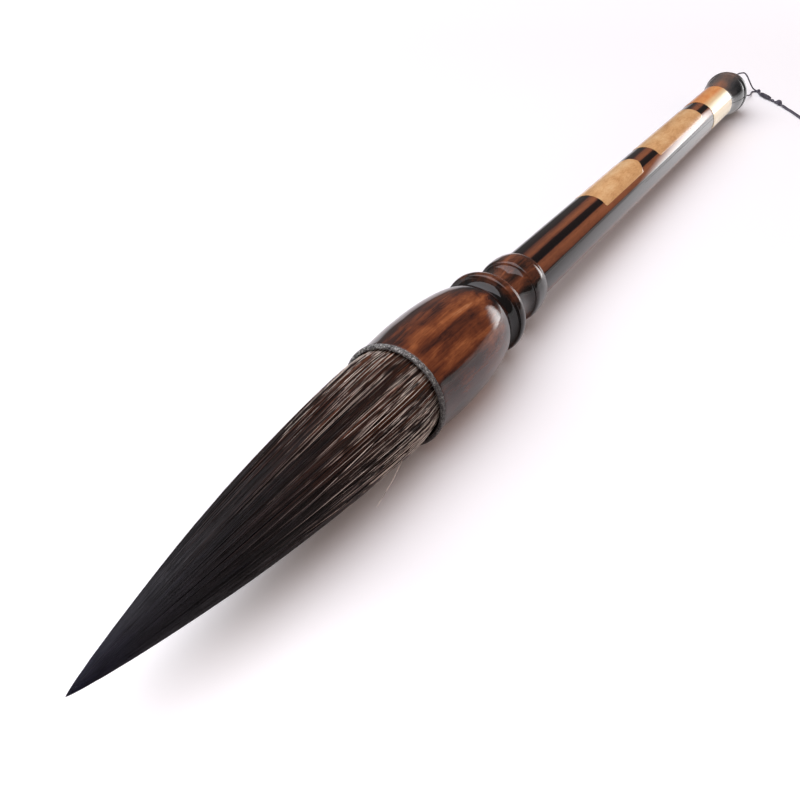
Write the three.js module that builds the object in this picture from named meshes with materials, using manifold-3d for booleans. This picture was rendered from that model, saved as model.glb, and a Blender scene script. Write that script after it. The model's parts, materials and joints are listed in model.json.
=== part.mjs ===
// A large calligraphy brush lying on a table: hair head, ring, turned wooden ferrule cup and
// collar, striped handle, end cap and knotted hanging cord. Millimetres, +Z up, tip towards -X.
// Distances "along" run from the hair's widest section, just inside the mouth ring: the free hair
// lies ahead of it, at negative values, and the wood behind it. Outline points are [along, radius].
import * as THREE from 'three';
import { mergeGeometries, mergeVertices } from 'three/addons/utils/BufferGeometryUtils.js';
import Module from 'manifold-3d';

const wasm = await Module();
wasm.setup();

// ---- driving dimensions ----
const seam = 0.3; // clearance between pieces that seat on or in each other
const turnedSides = 36; // facets round each turned piece

// hair head
const hairLength = 112.4; // from the widest section to the tip
const bellyRadius = 13.5; // of the widest section
const rootRadius = 11.2; // bundled and glued, inside the cup
const ogiveFullness = 1.57; // how soon the ogive widens behind the tip
const ogiveBluntness = 0.82; // below 1, the tip is blunter than a cone
const strandsPerLayer = 164; // two layers round the core, in four quarters
const shuffleStride = 61; // shares no factor with the number of strands
const strandCover = 0.72; // share of the pitch that a strand covers
const ridgeShare = 0.4; // a strand's ridge stands this share of its width above its middle,
const baseShare = 0.3; // and its flat side lies this share below
const layerShares = [0.985, 0.93]; // a layer's radius as a share of the outline
const strandBends = [0, -0.27, -0.54, -0.79]; // places along, as shares of the free length
const shortestHair = [0.62, 0.82]; // each layer's shortest hairs end this share of the free
const longestHair = [0.004, 0.2]; // length short of the tip, and its longest hairs this share
const hairLengthSpread = 1.4; // above 1, more of the hairs are long
const strandTaper = 6; // a strand's last bend lies at least this far from its point
const sliceThickness = 3; // glued slice that the strands stand in
const sliceWall = 2.4;
const sliceOverRoot = 0.3; // glue outside the outermost strands
const coreShare = 0.885; // core radius as a share of the outline
const coreTipGap = 4; // the core's nose starts this far short of the tip
const coreNose = 1;
const coreSides = 32;
const bindingLength = 2.5; // thread bound round the root
const bindingThickness = 0.6;
const bindingGap = 1.1; // from the thread to the glued slice
const plugThickness = 3; // resin that seals the root
const plugRadius = 12.6;
const plugToFloor = 0.8; // air left behind the resin

// mouth ring and ferrule cup
const ringRadius = 14.9;
const ringBore = 13.8;
const ringAhead = 1.05; // the ring's front face lies this far ahead of the widest section
const ringLength = 1.45;
const ringRounding = 0.4;
const cupFrontRadius = 14.6;
const cupRadius = 15.1; // where the cup is widest
const cupLength = 44.9;
const cupSwell = 14.5; // from the front edge to the widest stretch
const cupBarrel = 3.5; // widest stretch
const cupShoulderRadius = 9.8; // where the rounded shoulder meets the collar
const socketRadius = 13.2;
const socketMouthRadius = 13.7;
const socketTaper = 2.8; // from the mouth of the socket to its straight bore
const socketDepth = 20.4;
const cupEdge = 0.35;

// collar, a spool with a sharp front bead and a round rear bead
const collarLength = 27.9;
const scoopLength = 2.7;
const frontBeadRadius = 12.9;
const frontBeadWidth = 2.7;
const frontBeadLip = 0.5; // the bead's crown over its edges
const waistRadius = 7.8;
const waistLength = 2.6;
const waistSlope = 6.4; // from the front bead down to the waist
const rearBeadRadius = 10.25;
const rearBeadRise = 4.4; // scoop from the waist up to the rear bead
const rearBeadLip = 0.6;
const rearBeadWidth = 3.4; // from the lip to where the bead starts to fall
const collarOverHandle = 0.2; // the collar's rear edge stands this far out from the handle
const collarTenonRadius = 6;
const collarTenonLength = 10;

// handle
const handleLength = 198.4; // between collar and cap
const handleFrontRadius = 8.4;
const handleRearRadius = 7.4;
const handleEdge = 0.3;
const frontTenonRadius = 5;
const frontTenonLength = 12;
const rearTenonRadius = 4.2;
const rearTenonLength = 8.5;

// end cap
const capLength = 23.7;
const capNeckRadius = 7.3;
const capFlare = 14; // neck to rim
const capRimRadius = 9.5;
const capRimWidth = 3.6;
const capRimFall = 0.9; // how far the rim's back edge lies below its crown
const capFaceRadius = 5.6; // flat end face
const knotChamberRadius = 2.6;
const knotChamberLength = 5.4;

// hanging cord, one strand folded double and knotted
const strandRadius = 0.35;
const strandPitch = 1.12; // centre to centre where two strands run side by side
const pairRadius = 0.72; // two strands twisted together
const legStraight = 1.5; // a leg runs straight out of the hole for this far
const stopperRadius = 2.2;
const firstKnotRadius = 0.95;
const whippingRadius = 1.05;
const slideKnotRadius = 1.3;
const slideKnotLength = 3;
const cordSides = 8;
const cordOverTable = 0.02;
const cordSteps = { strand: 2, leg: 1.75, pair: 1.5 }; // length of a tube's facets

// ---- places worked out from them ----
const ringRear = ringLength - ringAhead;
const cupFront = ringRear + seam;
const barrelFront = cupFront + cupSwell;
const barrelRear = barrelFront + cupBarrel;
const cupRear = cupFront + cupLength;
const collarFront = cupRear + seam;
const collarRear = collarFront + collarLength;
const handleFront = collarRear + seam;
const handleRear = handleFront + handleLength;
const capFront = handleRear + seam;
const capRear = capFront + capLength;
const capRimAlong = capFront + capFlare + capRimWidth / 2;
const socketFloor = cupFront + socketDepth;
const plugFront = socketFloor - plugToFloor - plugThickness;
const sliceRear = plugFront - seam;
const sliceFront = sliceRear - sliceThickness;
const rootDepth = (sliceFront + sliceRear) / 2;
const bindingAlong = sliceFront - bindingGap - bindingLength;
const cordHoleRadius = strandPitch / 2 + strandRadius + seam;

const colours = {
  hair: { color: 0x2b211d, roughness: 0.55, metalness: 0 },
  core: { color: 0x14100f, roughness: 0.7, metalness: 0 },
  thread: { color: 0xb7a583, roughness: 0.9, metalness: 0 },
  resin: { color: 0x7a5a2c, roughness: 0.4, metalness: 0 },
  ring: { color: 0x6c706f, roughness: 0.75, metalness: 0 },
  cup: { color: 0x6b3a22, roughness: 0.2, metalness: 0 },
  collar: { color: 0x4a2a1c, roughness: 0.2, metalness: 0 },
  handle: { color: 0x5e3720, roughness: 0.15, metalness: 0 },
  cap: { color: 0x3d332d, roughness: 0.25, metalness: 0 },
  cord: { color: 0x201d22, roughness: 0.8, metalness: 0 },
};

// ---- outlines and solids ----
// A quarter of an ellipse between two points: it leaves the first one along the brush, or else
// straight in or out.
function quarter([fromAlong, fromRadius], [toAlong, toRadius], steps, leavesAlong) {
  const points = [];
  for (let step = 1; step <= steps; step++) {
    const turn = (step / steps) * (Math.PI / 2);
    const fast = Math.sin(turn);
    const slow = 1 - Math.cos(turn);
    points.push([
      fromAlong + (toAlong - fromAlong) * (leavesAlong ? fast : slow),
      fromRadius + (toRadius - fromRadius) * (leavesAlong ? slow : fast),
    ]);
  }
  return points;
}

// An S-curve between two points, level at both.
function ogee([fromAlong, fromRadius], [toAlong, toRadius], steps) {
  const points = [];
  for (let step = 1; step <= steps; step++) {
    const share = step / steps;
    const rise = (1 - Math.cos(share * Math.PI)) / 2;
    points.push([
      fromAlong + (toAlong - fromAlong) * share,
      fromRadius + (toRadius - fromRadius) * rise,
    ]);
  }
  return points;
}

// Revolves an outline about the brush's axis, with a facet and not a corner underneath.
function turned(outline, sides = turnedSides) {
  const points = outline.map(([along, radius]) => new THREE.Vector2(radius, along));
  return new THREE.LatheGeometry(points, sides, Math.PI / sides).rotateZ(-Math.PI / 2);
}

function around(along, radius, angle) {
  return new THREE.Vector3(along, radius * Math.sin(angle), -radius * Math.cos(angle));
}

function named(name, geometry, finish) {
  const mesh = new THREE.Mesh(geometry, new THREE.MeshStandardMaterial(finish));
  mesh.name = name;
  return mesh;
}

function toManifold(geometry) {
  const bare = geometry.clone();
  bare.deleteAttribute('normal');
  bare.deleteAttribute('uv');
  const merged = mergeVertices(bare);
  return new wasm.Manifold(
    new wasm.Mesh({
      numProp: 3,
      vertProperties: new Float32Array(merged.attributes.position.array),
      triVerts: new Uint32Array(merged.index.array),
    }),
  );
}

function toGeometry(manifold) {
  const { vertProperties, triVerts } = manifold.getMesh();
  const geometry = new THREE.BufferGeometry();
  geometry.setAttribute('position', new THREE.BufferAttribute(vertProperties, 3));
  geometry.setIndex(new THREE.BufferAttribute(triVerts, 1));
  geometry.computeVertexNormals();
  return geometry;
}

// ---- hair head ----
// The ogive: radius of the free hair at a place along, and of the bundle inside the cup.
function hairRadius(along) {
  if (along > 0) return THREE.MathUtils.lerp(bellyRadius, rootRadius, along / rootDepth);
  const behindTip = Math.max(0, 1 + along / hairLength);
  return bellyRadius * (1 - (1 - behindTip) ** ogiveFullness) ** ogiveBluntness;
}

const bends = strandBends.map((share) => share * hairLength);

// Strands and core bend at the same places and are straight between them, so they never meet.
function bentRadius(along) {
  const stations = [rootDepth, ...bends, -hairLength];
  const next = Math.max(1, stations.findIndex((station) => station <= along + 1e-9));
  const [from, to] = [stations[next - 1], stations[next]];
  return THREE.MathUtils.mapLinear(along, from, to, hairRadius(from), hairRadius(to));
}

// One three-sided strand: it starts inside the glued slice and tapers to a point at tipAlong.
function strandGeometry(angle, layerShare, tipAlong) {
  const positions = [];
  const faces = [];
  const places = [rootDepth, ...bends].filter((along) => along > tipAlong + strandTaper);
  for (const along of places) {
    const radius = bentRadius(along) * layerShare;
    const width = (strandCover * 2 * Math.PI * radius) / strandsPerLayer;
    const sway = width / 2 / radius;
    positions.push(
      ...around(along, radius + width * ridgeShare, angle),
      ...around(along, radius - width * baseShare, angle - sway),
      ...around(along, radius - width * baseShare, angle + sway),
    );
  }
  positions.push(...around(tipAlong, bentRadius(tipAlong) * layerShare, angle));
  const apex = places.length * 3;
  faces.push(0, 2, 1);
  for (let side = 0; side < 3; side++) {
    const next = (side + 1) % 3;
    for (let ring = 0; ring < places.length - 1; ring++) {
      const low = ring * 3;
      const high = low + 3;
      faces.push(low + side, low + next, high + side);
      faces.push(low + next, high + next, high + side);
    }
    faces.push(apex - 3 + side, apex - 3 + next, apex);
  }
  const geometry = new THREE.BufferGeometry();
  geometry.setAttribute('position', new THREE.Float32BufferAttribute(positions, 3));
  geometry.setIndex(faces);
  return geometry;
}

// From 0 to 1, in steps that jump about so that neighbouring hairs differ in length.
function shuffled(index, count) {
  return ((index * shuffleStride) % count) / (count - 1);
}

function hairQuarter(quarterIndex) {
  const perQuarter = strandsPerLayer / 4;
  const strands = [];
  layerShares.forEach((layerShare, layer) => {
    for (let step = 0; step < perQuarter; step++) {
      const index = quarterIndex * perQuarter + step;
      const angle = ((index + 0.5) / strandsPerLayer) * 2 * Math.PI;
      const short = THREE.MathUtils.lerp(
        longestHair[layer],
        shortestHair[layer],
        shuffled(index, strandsPerLayer) ** hairLengthSpread,
      );
      strands.push(strandGeometry(angle, layerShare, -hairLength * (1 - short)));
    }
  });
  const halfGap = seam / 2 / rootRadius;
  const start = (quarterIndex * Math.PI) / 2 + halfGap;
  const end = ((quarterIndex + 1) * Math.PI) / 2 - halfGap;
  const outer = rootRadius + sliceOverRoot;
  const inner = outer - sliceWall;
  const section = new THREE.Shape();
  section.absarc(0, 0, outer, start, end, false);
  section.absarc(0, 0, inner, end, start, true);
  const slice = new THREE.ExtrudeGeometry(section, {
    depth: sliceThickness,
    bevelEnabled: false,
    curveSegments: 6,
  });
  slice.rotateY(Math.PI / 2).translate(sliceFront, 0, 0);
  return toGeometry(toManifold(slice).add(toManifold(mergeGeometries(strands))));
}

// A solid ogive under the strands, necked down to pass through the glued slices.
function hairCore() {
  const tip = -hairLength + coreTipGap;
  const beforeTip = (bends[bends.length - 1] + tip) / 2;
  const swell = [tip, beforeTip, ...bends.toReversed()];
  const neck = rootRadius + sliceOverRoot - sliceWall - seam;
  return turned(
    [
      [tip - coreNose, 0],
      ...swell.map((along) => [along, bentRadius(along) * coreShare]),
      [sliceFront - seam, neck],
      [sliceRear, neck],
      [sliceRear, 0],
    ],
    coreSides,
  );
}

function rootBinding() {
  const ends = [bindingAlong, bindingAlong + bindingLength];
  const inner = hairRadius(bindingAlong) + seam;
  const outer = Math.min(inner + bindingThickness, socketRadius - seam);
  return turned([
    [ends[0], inner],
    [ends[0], outer],
    [ends[1], outer],
    [ends[1], inner],
    [ends[0], inner],
  ]);
}

function rootPlug() {
  return turned([
    [plugFront, 0],
    [plugFront, plugRadius],
    [plugFront + plugThickness, plugRadius],
    [plugFront + plugThickness, 0],
  ]);
}

// ---- turned pieces ----
function mouthRing() {
  const front = -ringAhead;
  const faceEdge = [front, ringRadius - ringRounding];
  return turned([
    [front, ringBore + ringRounding],
    faceEdge,
    ...quarter(faceEdge, [front + ringRounding, ringRadius], 2, false),
    [ringRear, ringRadius],
    [ringRear, ringBore],
    [front + ringRounding, ringBore],
    [front, ringBore + ringRounding],
  ]);
}

function ferruleCup() {
  const tenonHole = collarTenonRadius + seam;
  const tenonFloor = cupRear - collarTenonLength - seam;
  const edge = [cupFront + cupEdge, cupFrontRadius];
  return turned([
    [socketFloor, 0],
    [socketFloor, socketRadius],
    [cupFront + socketTaper, socketRadius],
    [cupFront, socketMouthRadius],
    [cupFront, cupFrontRadius - cupEdge],
    edge,
    ...ogee(edge, [barrelFront, cupRadius], 4),
    [barrelRear, cupRadius],
    ...quarter([barrelRear, cupRadius], [cupRear, cupShoulderRadius], 9, true),
    [cupRear, tenonHole],
    [tenonFloor, tenonHole],
    [tenonFloor, 0],
  ]);
}

function collar() {
  const scoopEnd = [collarFront + scoopLength, frontBeadRadius - frontBeadLip];
  const frontCrown = [scoopEnd[0] + frontBeadWidth / 2, frontBeadRadius];
  const frontEnd = [scoopEnd[0] + frontBeadWidth, frontBeadRadius - frontBeadLip];
  const waistStart = [frontEnd[0] + waistSlope, waistRadius];
  const waistEnd = [waistStart[0] + waistLength, waistRadius];
  const lip = [waistEnd[0] + rearBeadRise, rearBeadRadius - rearBeadLip];
  const rearCrown = [lip[0] + rearBeadWidth / 2, rearBeadRadius];
  const rearFall = [lip[0] + rearBeadWidth, rearBeadRadius];
  const rearEdge = [collarRear, handleFrontRadius + collarOverHandle];
  const bore = frontTenonRadius + seam;
  const boreFloor = collarRear - frontTenonLength - seam;
  return turned([
    [collarFront - collarTenonLength, 0],
    [collarFront - collarTenonLength, collarTenonRadius],
    [collarFront, collarTenonRadius],
    [collarFront, cupShoulderRadius],
    ...quarter([collarFront, cupShoulderRadius], scoopEnd, 3, true),
    ...quarter(scoopEnd, frontCrown, 2, false),
    ...quarter(frontCrown, frontEnd, 2, true),
    ...ogee(frontEnd, waistStart, 5),
    waistEnd,
    ...quarter(waistEnd, lip, 3, true),
    ...quarter(lip, rearCrown, 2, false),
    rearFall,
    ...quarter(rearFall, rearEdge, 4, true),
    [collarRear, bore],
    [boreFloor, bore],
    [boreFloor, 0],
  ]);
}

function handleShaft() {
  return turned([
    [handleFront - frontTenonLength, 0],
    [handleFront - frontTenonLength, frontTenonRadius],
    [handleFront, frontTenonRadius],
    [handleFront, handleFrontRadius - handleEdge],
    [handleFront + handleEdge, handleFrontRadius],
    [handleRear - handleEdge, handleRearRadius],
    [handleRear, handleRearRadius - handleEdge],
    [handleRear, rearTenonRadius],
    [handleRear + rearTenonLength, rearTenonRadius],
    [handleRear + rearTenonLength, 0],
  ]);
}

const tenonHoleEnd = capFront + rearTenonLength;
const chamberEnd = tenonHoleEnd + knotChamberLength;

function endCap() {
  const tenonHole = rearTenonRadius + seam;
  const rimStart = [capFront + capFlare, capRimRadius - capRimFall / 2];
  const rimCrown = [capRimAlong, capRimRadius];
  const rimEnd = [capFront + capFlare + capRimWidth, capRimRadius - capRimFall];
  return turned([
    [capFront, tenonHole],
    [capFront, capNeckRadius],
    ...ogee([capFront, capNeckRadius], rimStart, 6),
    ...quarter(rimStart, rimCrown, 2, false),
    ...quarter(rimCrown, rimEnd, 2, true),
    ...quarter(rimEnd, [capRear, capFaceRadius], 4, true),
    [capRear, cordHoleRadius],
    [chamberEnd, cordHoleRadius],
    [chamberEnd, knotChamberRadius],
    [tenonHoleEnd, knotChamberRadius],
    [tenonHoleEnd, tenonHole],
    [capFront, tenonHole],
  ]);
}

// ---- the brush, tilted until cup and cap both touch the table ----
const brush = new THREE.Group();
for (let index = 0; index < 4; index++) {
  brush.add(named(`hair_quarter_${index + 1}`, hairQuarter(index), colours.hair));
}
brush.add(
  named('hair_core', hairCore(), colours.core),
  named('root_binding', rootBinding(), colours.thread),
  named('root_plug', rootPlug(), colours.resin),
  named('mouth_ring', mouthRing(), colours.ring),
  named('ferrule_cup', ferruleCup(), colours.cup),
  named('collar', collar(), colours.collar),
  named('handle_shaft', handleShaft(), colours.handle),
  named('end_cap', endCap(), colours.cap),
);

const frontContacts = [
  [ringRear, ringRadius],
  [barrelFront, cupRadius],
  [barrelRear, cupRadius],
];
const tilts = frontContacts.map(([along, radius]) =>
  Math.asin(((radius - capRimRadius) * Math.cos(Math.PI / turnedSides)) / (capRimAlong - along)),
);
brush.rotation.y = Math.max(...tilts);
const lying = new THREE.Box3().setFromObject(brush, true);
const middle = lying.getCenter(new THREE.Vector3());
brush.position.set(-middle.x, -middle.y, -lying.min.z);
brush.updateMatrixWorld();

// ---- hanging cord ----
const holeMouth = new THREE.Vector3(capRear, 0, 0).applyMatrix4(brush.matrixWorld);

// A place on the cord's route, from the mouth of the cap's hole: how far behind it, how far to
// its left, and how high, where 0 lies on the table and 1 is level with the hole.
function place([behind, left, lift], radius) {
  const height = THREE.MathUtils.lerp(radius + cordOverTable, holeMouth.z, lift);
  return new THREE.Vector3(holeMouth.x + behind, holeMouth.y + left, height);
}

const firstKnotPlace = [28.4, -6.9, 0];
const whippingPlaces = [[24.9, -8.9, 0], [22.7, -11.5, 0], [20.6, -14.5, 0]];
const slideKnotPlace = [16.5, -19.8, 0];
const leftLeg = [
  [5, 1.2, 1.02], [11, 2.4, 1.05], [17, 2.9, 1.06], [22.9, 2.5, 1.03], [25.7, 0.9, 0.99],
  [26.9, -0.4, 0.81], [28.1, -1.5, 0.55], [29.2, -2.7, 0.28], [29.7, -3.8, 0.11],
  [29.8, -5.1, 0.03], [29.6, -6.2, 0.01],
];
const rightLeg = [
  [3, -1.3, 0.93], [6.5, -2.6, 0.7], [11.5, -3.6, 0.42], [16, -4.5, 0.2], [20, -4.8, 0.09],
  [23.2, -4.6, 0.04], [25.4, -4.2, 0.015], [27, -4.1, 0.01], [28.3, -4.6, 0.01],
  [28.8, -5.5, 0.01],
];
const frontPair = [[27.3, -7.4, 0], [26.4, -7.9, 0], [25.4, -8.5, 0]];
const rearPair = [[20.2, -15.1, 0], [18.9, -16.8, 0], [17.6, -18.5, 0]];
const loop = [
  [15.3, -20.9, 0], [14.2, -22.1, 0], [12.7, -23.7, 0], [10.6, -26, 0], [8.5, -28, 0],
  [6.6, -29.8, 0], [4.6, -31.7, 0], [2.1, -34.2, 0], [-0.7, -36.8, 0], [-4.8, -39.6, 0],
  [-10.8, -43.2, 0], [-17.2, -46.9, 0], [-22.9, -51.2, 0], [-26.9, -56.2, 0], [-27.9, -61.3, 0],
  [-24.9, -64.8, 0], [-19.4, -64.1, 0], [-13.3, -59.9, 0], [-7.7, -53.8, 0], [-3.3, -47.2, 0],
  [-0.5, -41.6, 0], [0.9, -37.8, 0], [2.9, -35, 0], [5.4, -32.5, 0], [7.4, -30.6, 0],
  [9.3, -28.8, 0], [11.4, -26.8, 0], [13.5, -24.5, 0], [15, -22.7, 0], [16, -21.5, 0],
];

function cordTube(points, radius, stepLength) {
  const route = new THREE.CatmullRomCurve3(points, false, 'centripetal');
  const section = new THREE.Shape();
  for (let side = 0; side < cordSides; side++) {
    const turn = ((side + 0.5) / cordSides) * 2 * Math.PI;
    const corner = [radius * Math.cos(turn), radius * Math.sin(turn)];
    if (side === 0) section.moveTo(...corner);
    else section.lineTo(...corner);
  }
  section.closePath();
  return new THREE.ExtrudeGeometry(section, {
    steps: Math.max(2, Math.round(route.getLength() / stepLength)),
    bevelEnabled: false,
    extrudePath: route,
  });
}

// A leg starts on the stopper knot and runs straight out through the cap's hole.
function leg(side, places) {
  const inHole = [chamberEnd + seam, (chamberEnd + capRear) / 2, capRear, capRear + legStraight];
  const straight = inHole.map((along) =>
    new THREE.Vector3(along, (side * strandPitch) / 2, 0).applyMatrix4(brush.matrixWorld),
  );
  const free = places.map((spot) => place(spot, strandRadius));
  return cordTube([...straight, ...free], strandRadius, cordSteps.leg);
}

function knot(radius, stretch, spot, heading) {
  const geometry = new THREE.SphereGeometry(radius, 10, 8);
  geometry.scale(stretch, 1, 1).rotateZ(heading);
  const centre = place(spot, radius);
  return geometry.translate(centre.x, centre.y, centre.z);
}

const stopperCentre = new THREE.Vector3(chamberEnd - stopperRadius, 0, 0)
  .applyMatrix4(brush.matrixWorld);
const stopper = new THREE.SphereGeometry(stopperRadius, 12, 8)
  .translate(stopperCentre.x, stopperCentre.y, stopperCentre.z);

const pairHeading = Math.atan2(
  slideKnotPlace[1] - rearPair[0][1],
  slideKnotPlace[0] - rearPair[0][0],
);
const onTable = (places, radius) => places.map((spot) => place(spot, radius));
const pairTube = (places, radius) => cordTube(onTable(places, radius), radius, cordSteps.pair);

const loopTube = cordTube(onTable(loop, strandRadius), strandRadius, cordSteps.strand);

const cord = new THREE.Group();
cord.add(
  named('cord_stopper_knot', stopper, colours.cord),
  named('cord_leg_left', leg(1, leftLeg), colours.cord),
  named('cord_leg_right', leg(-1, rightLeg), colours.cord),
  named('cord_first_knot', knot(firstKnotRadius, 1, firstKnotPlace, 0), colours.cord),
  named('cord_front_pair', pairTube(frontPair, pairRadius), colours.cord),
  named('cord_whipping', pairTube(whippingPlaces, whippingRadius), colours.cord),
  named('cord_rear_pair', pairTube(rearPair, pairRadius), colours.cord),
  named(
    'cord_slide_knot',
    knot(slideKnotRadius, slideKnotLength / (2 * slideKnotRadius), slideKnotPlace, pairHeading),
    colours.cord,
  ),
  named('cord_loop', loopTube, colours.cord),
);

const group = new THREE.Group();
group.add(brush, cord);
export default group;
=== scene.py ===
import json
import math

import bpy
import numpy as np
from mathutils import Matrix, Vector


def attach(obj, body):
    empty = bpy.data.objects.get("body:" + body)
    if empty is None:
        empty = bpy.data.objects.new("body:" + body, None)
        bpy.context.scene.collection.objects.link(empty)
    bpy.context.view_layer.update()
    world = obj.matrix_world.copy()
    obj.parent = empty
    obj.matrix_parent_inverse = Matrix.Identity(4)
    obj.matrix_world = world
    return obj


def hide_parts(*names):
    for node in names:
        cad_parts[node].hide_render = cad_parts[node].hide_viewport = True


MM = 0.001

# ---- the brush's axis, from the frame ----
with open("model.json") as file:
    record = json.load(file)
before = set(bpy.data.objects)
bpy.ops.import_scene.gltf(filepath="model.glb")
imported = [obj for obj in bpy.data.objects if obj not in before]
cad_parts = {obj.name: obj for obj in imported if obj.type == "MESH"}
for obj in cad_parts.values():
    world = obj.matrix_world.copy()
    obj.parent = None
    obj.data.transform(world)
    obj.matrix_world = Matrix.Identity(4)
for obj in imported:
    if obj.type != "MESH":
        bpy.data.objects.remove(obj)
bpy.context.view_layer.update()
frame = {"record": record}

FACE_SPOT = 3.6  # how far above the axis the record marks the cap's end face
CAP_REAR = 296.5
face = next(mount for mount in frame["record"]["mounts"] if mount["name"] == "cap_end_face")
AXIS = np.array(face["axis"])
UP = np.array([-AXIS[2], 0.0, AXIS[0]])
SIDE = np.array([0.0, 1.0, 0.0])
MOUTH = np.array(face["pos_m"]) - (FACE_SPOT * UP + CAP_REAR * AXIS) * MM
TILT = math.asin(-AXIS[2])


def swung(angle, start, onward):
    """Directions at these angles from one direction towards another, square to it."""
    return np.cos(angle)[..., None] * start + np.sin(angle)[..., None] * onward


def on_brush(along, radius, angle):
    """Points in the row frame from places along, radii and angles round the axis."""
    along, radius, angle = np.broadcast_arrays(along, radius, angle)
    out = radius[..., None] * swung(angle, UP, -SIDE)
    return MOUTH + (along[..., None] * AXIS + out) * MM


# ---- sizes repeated from the part's source ----
HAIR_LENGTH = 112.4
BELLY_RADIUS = 13.5
OGIVE_FULLNESS = 1.57
OGIVE_BLUNTNESS = 0.82
RING_FRONT, RING_REAR, RING_RADIUS, RING_BORE, RING_ROUNDING = -1.05, 0.4, 14.9, 13.8, 0.4
CUP_FRONT, CUP_REAR, CUP_EDGE = 0.7, 45.6, 0.35
CUP_FRONT_RADIUS, CUP_RADIUS, CUP_SHOULDER = 14.6, 15.1, 9.8
CUP_SWELL, CUP_BARREL = 14.5, 3.5
SOCKET_RADIUS, SOCKET_MOUTH, SOCKET_TAPER, SOCKET_FLOOR = 13.2, 13.7, 2.8, 21.1
COLLAR_FRONT, COLLAR_REAR = 45.9, 73.8
COLLAR_TENON, COLLAR_TENON_LENGTH = 6.0, 10.0
HANDLE_FRONT, HANDLE_REAR = 74.1, 272.5
HANDLE_RADII = (8.4, 7.4)
HANDLE_EDGE = 0.3
FRONT_TENON, FRONT_TENON_LENGTH = 5.0, 12.0
REAR_TENON, REAR_TENON_LENGTH = 4.2, 8.5
CAP_FRONT = 272.8
CAP_NECK, CAP_FLARE, CAP_RIM, CAP_RIM_WIDTH, CAP_RIM_FALL = 7.3, 14.0, 9.5, 3.6, 0.9
CAP_FACE = 5.6
KNOT_CHAMBER, KNOT_CHAMBER_LENGTH = 2.6, 5.4
SEAM = 0.3
STRAND_RADIUS = 0.35
STRAND_PITCH = 1.12
CORD_HOLE = STRAND_PITCH / 2 + STRAND_RADIUS + SEAM


# ---- materials ----
def srgb(*colour):
    """A colour as it is seen, in 0-255 steps, as linear light."""
    shares = [c / 255 for c in colour]
    return (*(c / 12.92 if c <= 0.04045 else ((c + 0.055) / 1.055) ** 2.4 for c in shares), 1.0)


def grey(level):
    return (level, level, level, 1.0)


def palette(*colours):
    return [srgb(*colour) for colour in colours]


def colour_stops(*rows):
    """Stops of a colour ramp, from rows of a position and a colour in 0-255 steps."""
    return [(row[0], srgb(*row[1:])) for row in rows]


# the colour sockets of a Mix node, by number since its other kinds share their names
MIX_FACTOR, MIX_A, MIX_B, MIX_RESULT = 0, 6, 7, 2


class Nodes:
    """Adds nodes to a tree and feeds them with values or other nodes' outputs."""

    def __init__(self, tree):
        self.tree = tree

    def feed(self, socket, value):
        if isinstance(value, bpy.types.NodeSocket):
            self.tree.links.new(value, socket)
        else:
            socket.default_value = value

    def node(self, kind, inputs=(), **settings):
        made = self.tree.nodes.new("ShaderNode" + kind)
        for name, value in settings.items():
            setattr(made, name, value)
        for name, value in dict(inputs).items():
            self.feed(made.inputs[name], value)
        return made.outputs

    def math(self, operation, *inputs):
        return self.node("Math", dict(enumerate(inputs)), operation=operation)[0]

    def add(self, a, b):
        return self.math("ADD", a, b)

    def times(self, a, b):
        return self.math("MULTIPLY", a, b)

    def range(self, value, low, high, to_low=0.0, to_high=1.0):
        """A smooth step from to_low to to_high while value goes from low to high."""
        names = ("Value", "From Min", "From Max", "To Min", "To Max")
        inputs = dict(zip(names, (value, low, high, to_low, to_high)))
        return self.node("MapRange", inputs, interpolation_type="SMOOTHSTEP")[0]

    def split(self, vector):
        return self.node("SeparateXYZ", {0: vector})

    def mix(self, factor, a, b):
        inputs = {MIX_FACTOR: factor, MIX_A: a, MIX_B: b}
        return self.node("Mix", inputs, data_type="RGBA")[MIX_RESULT]


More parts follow.
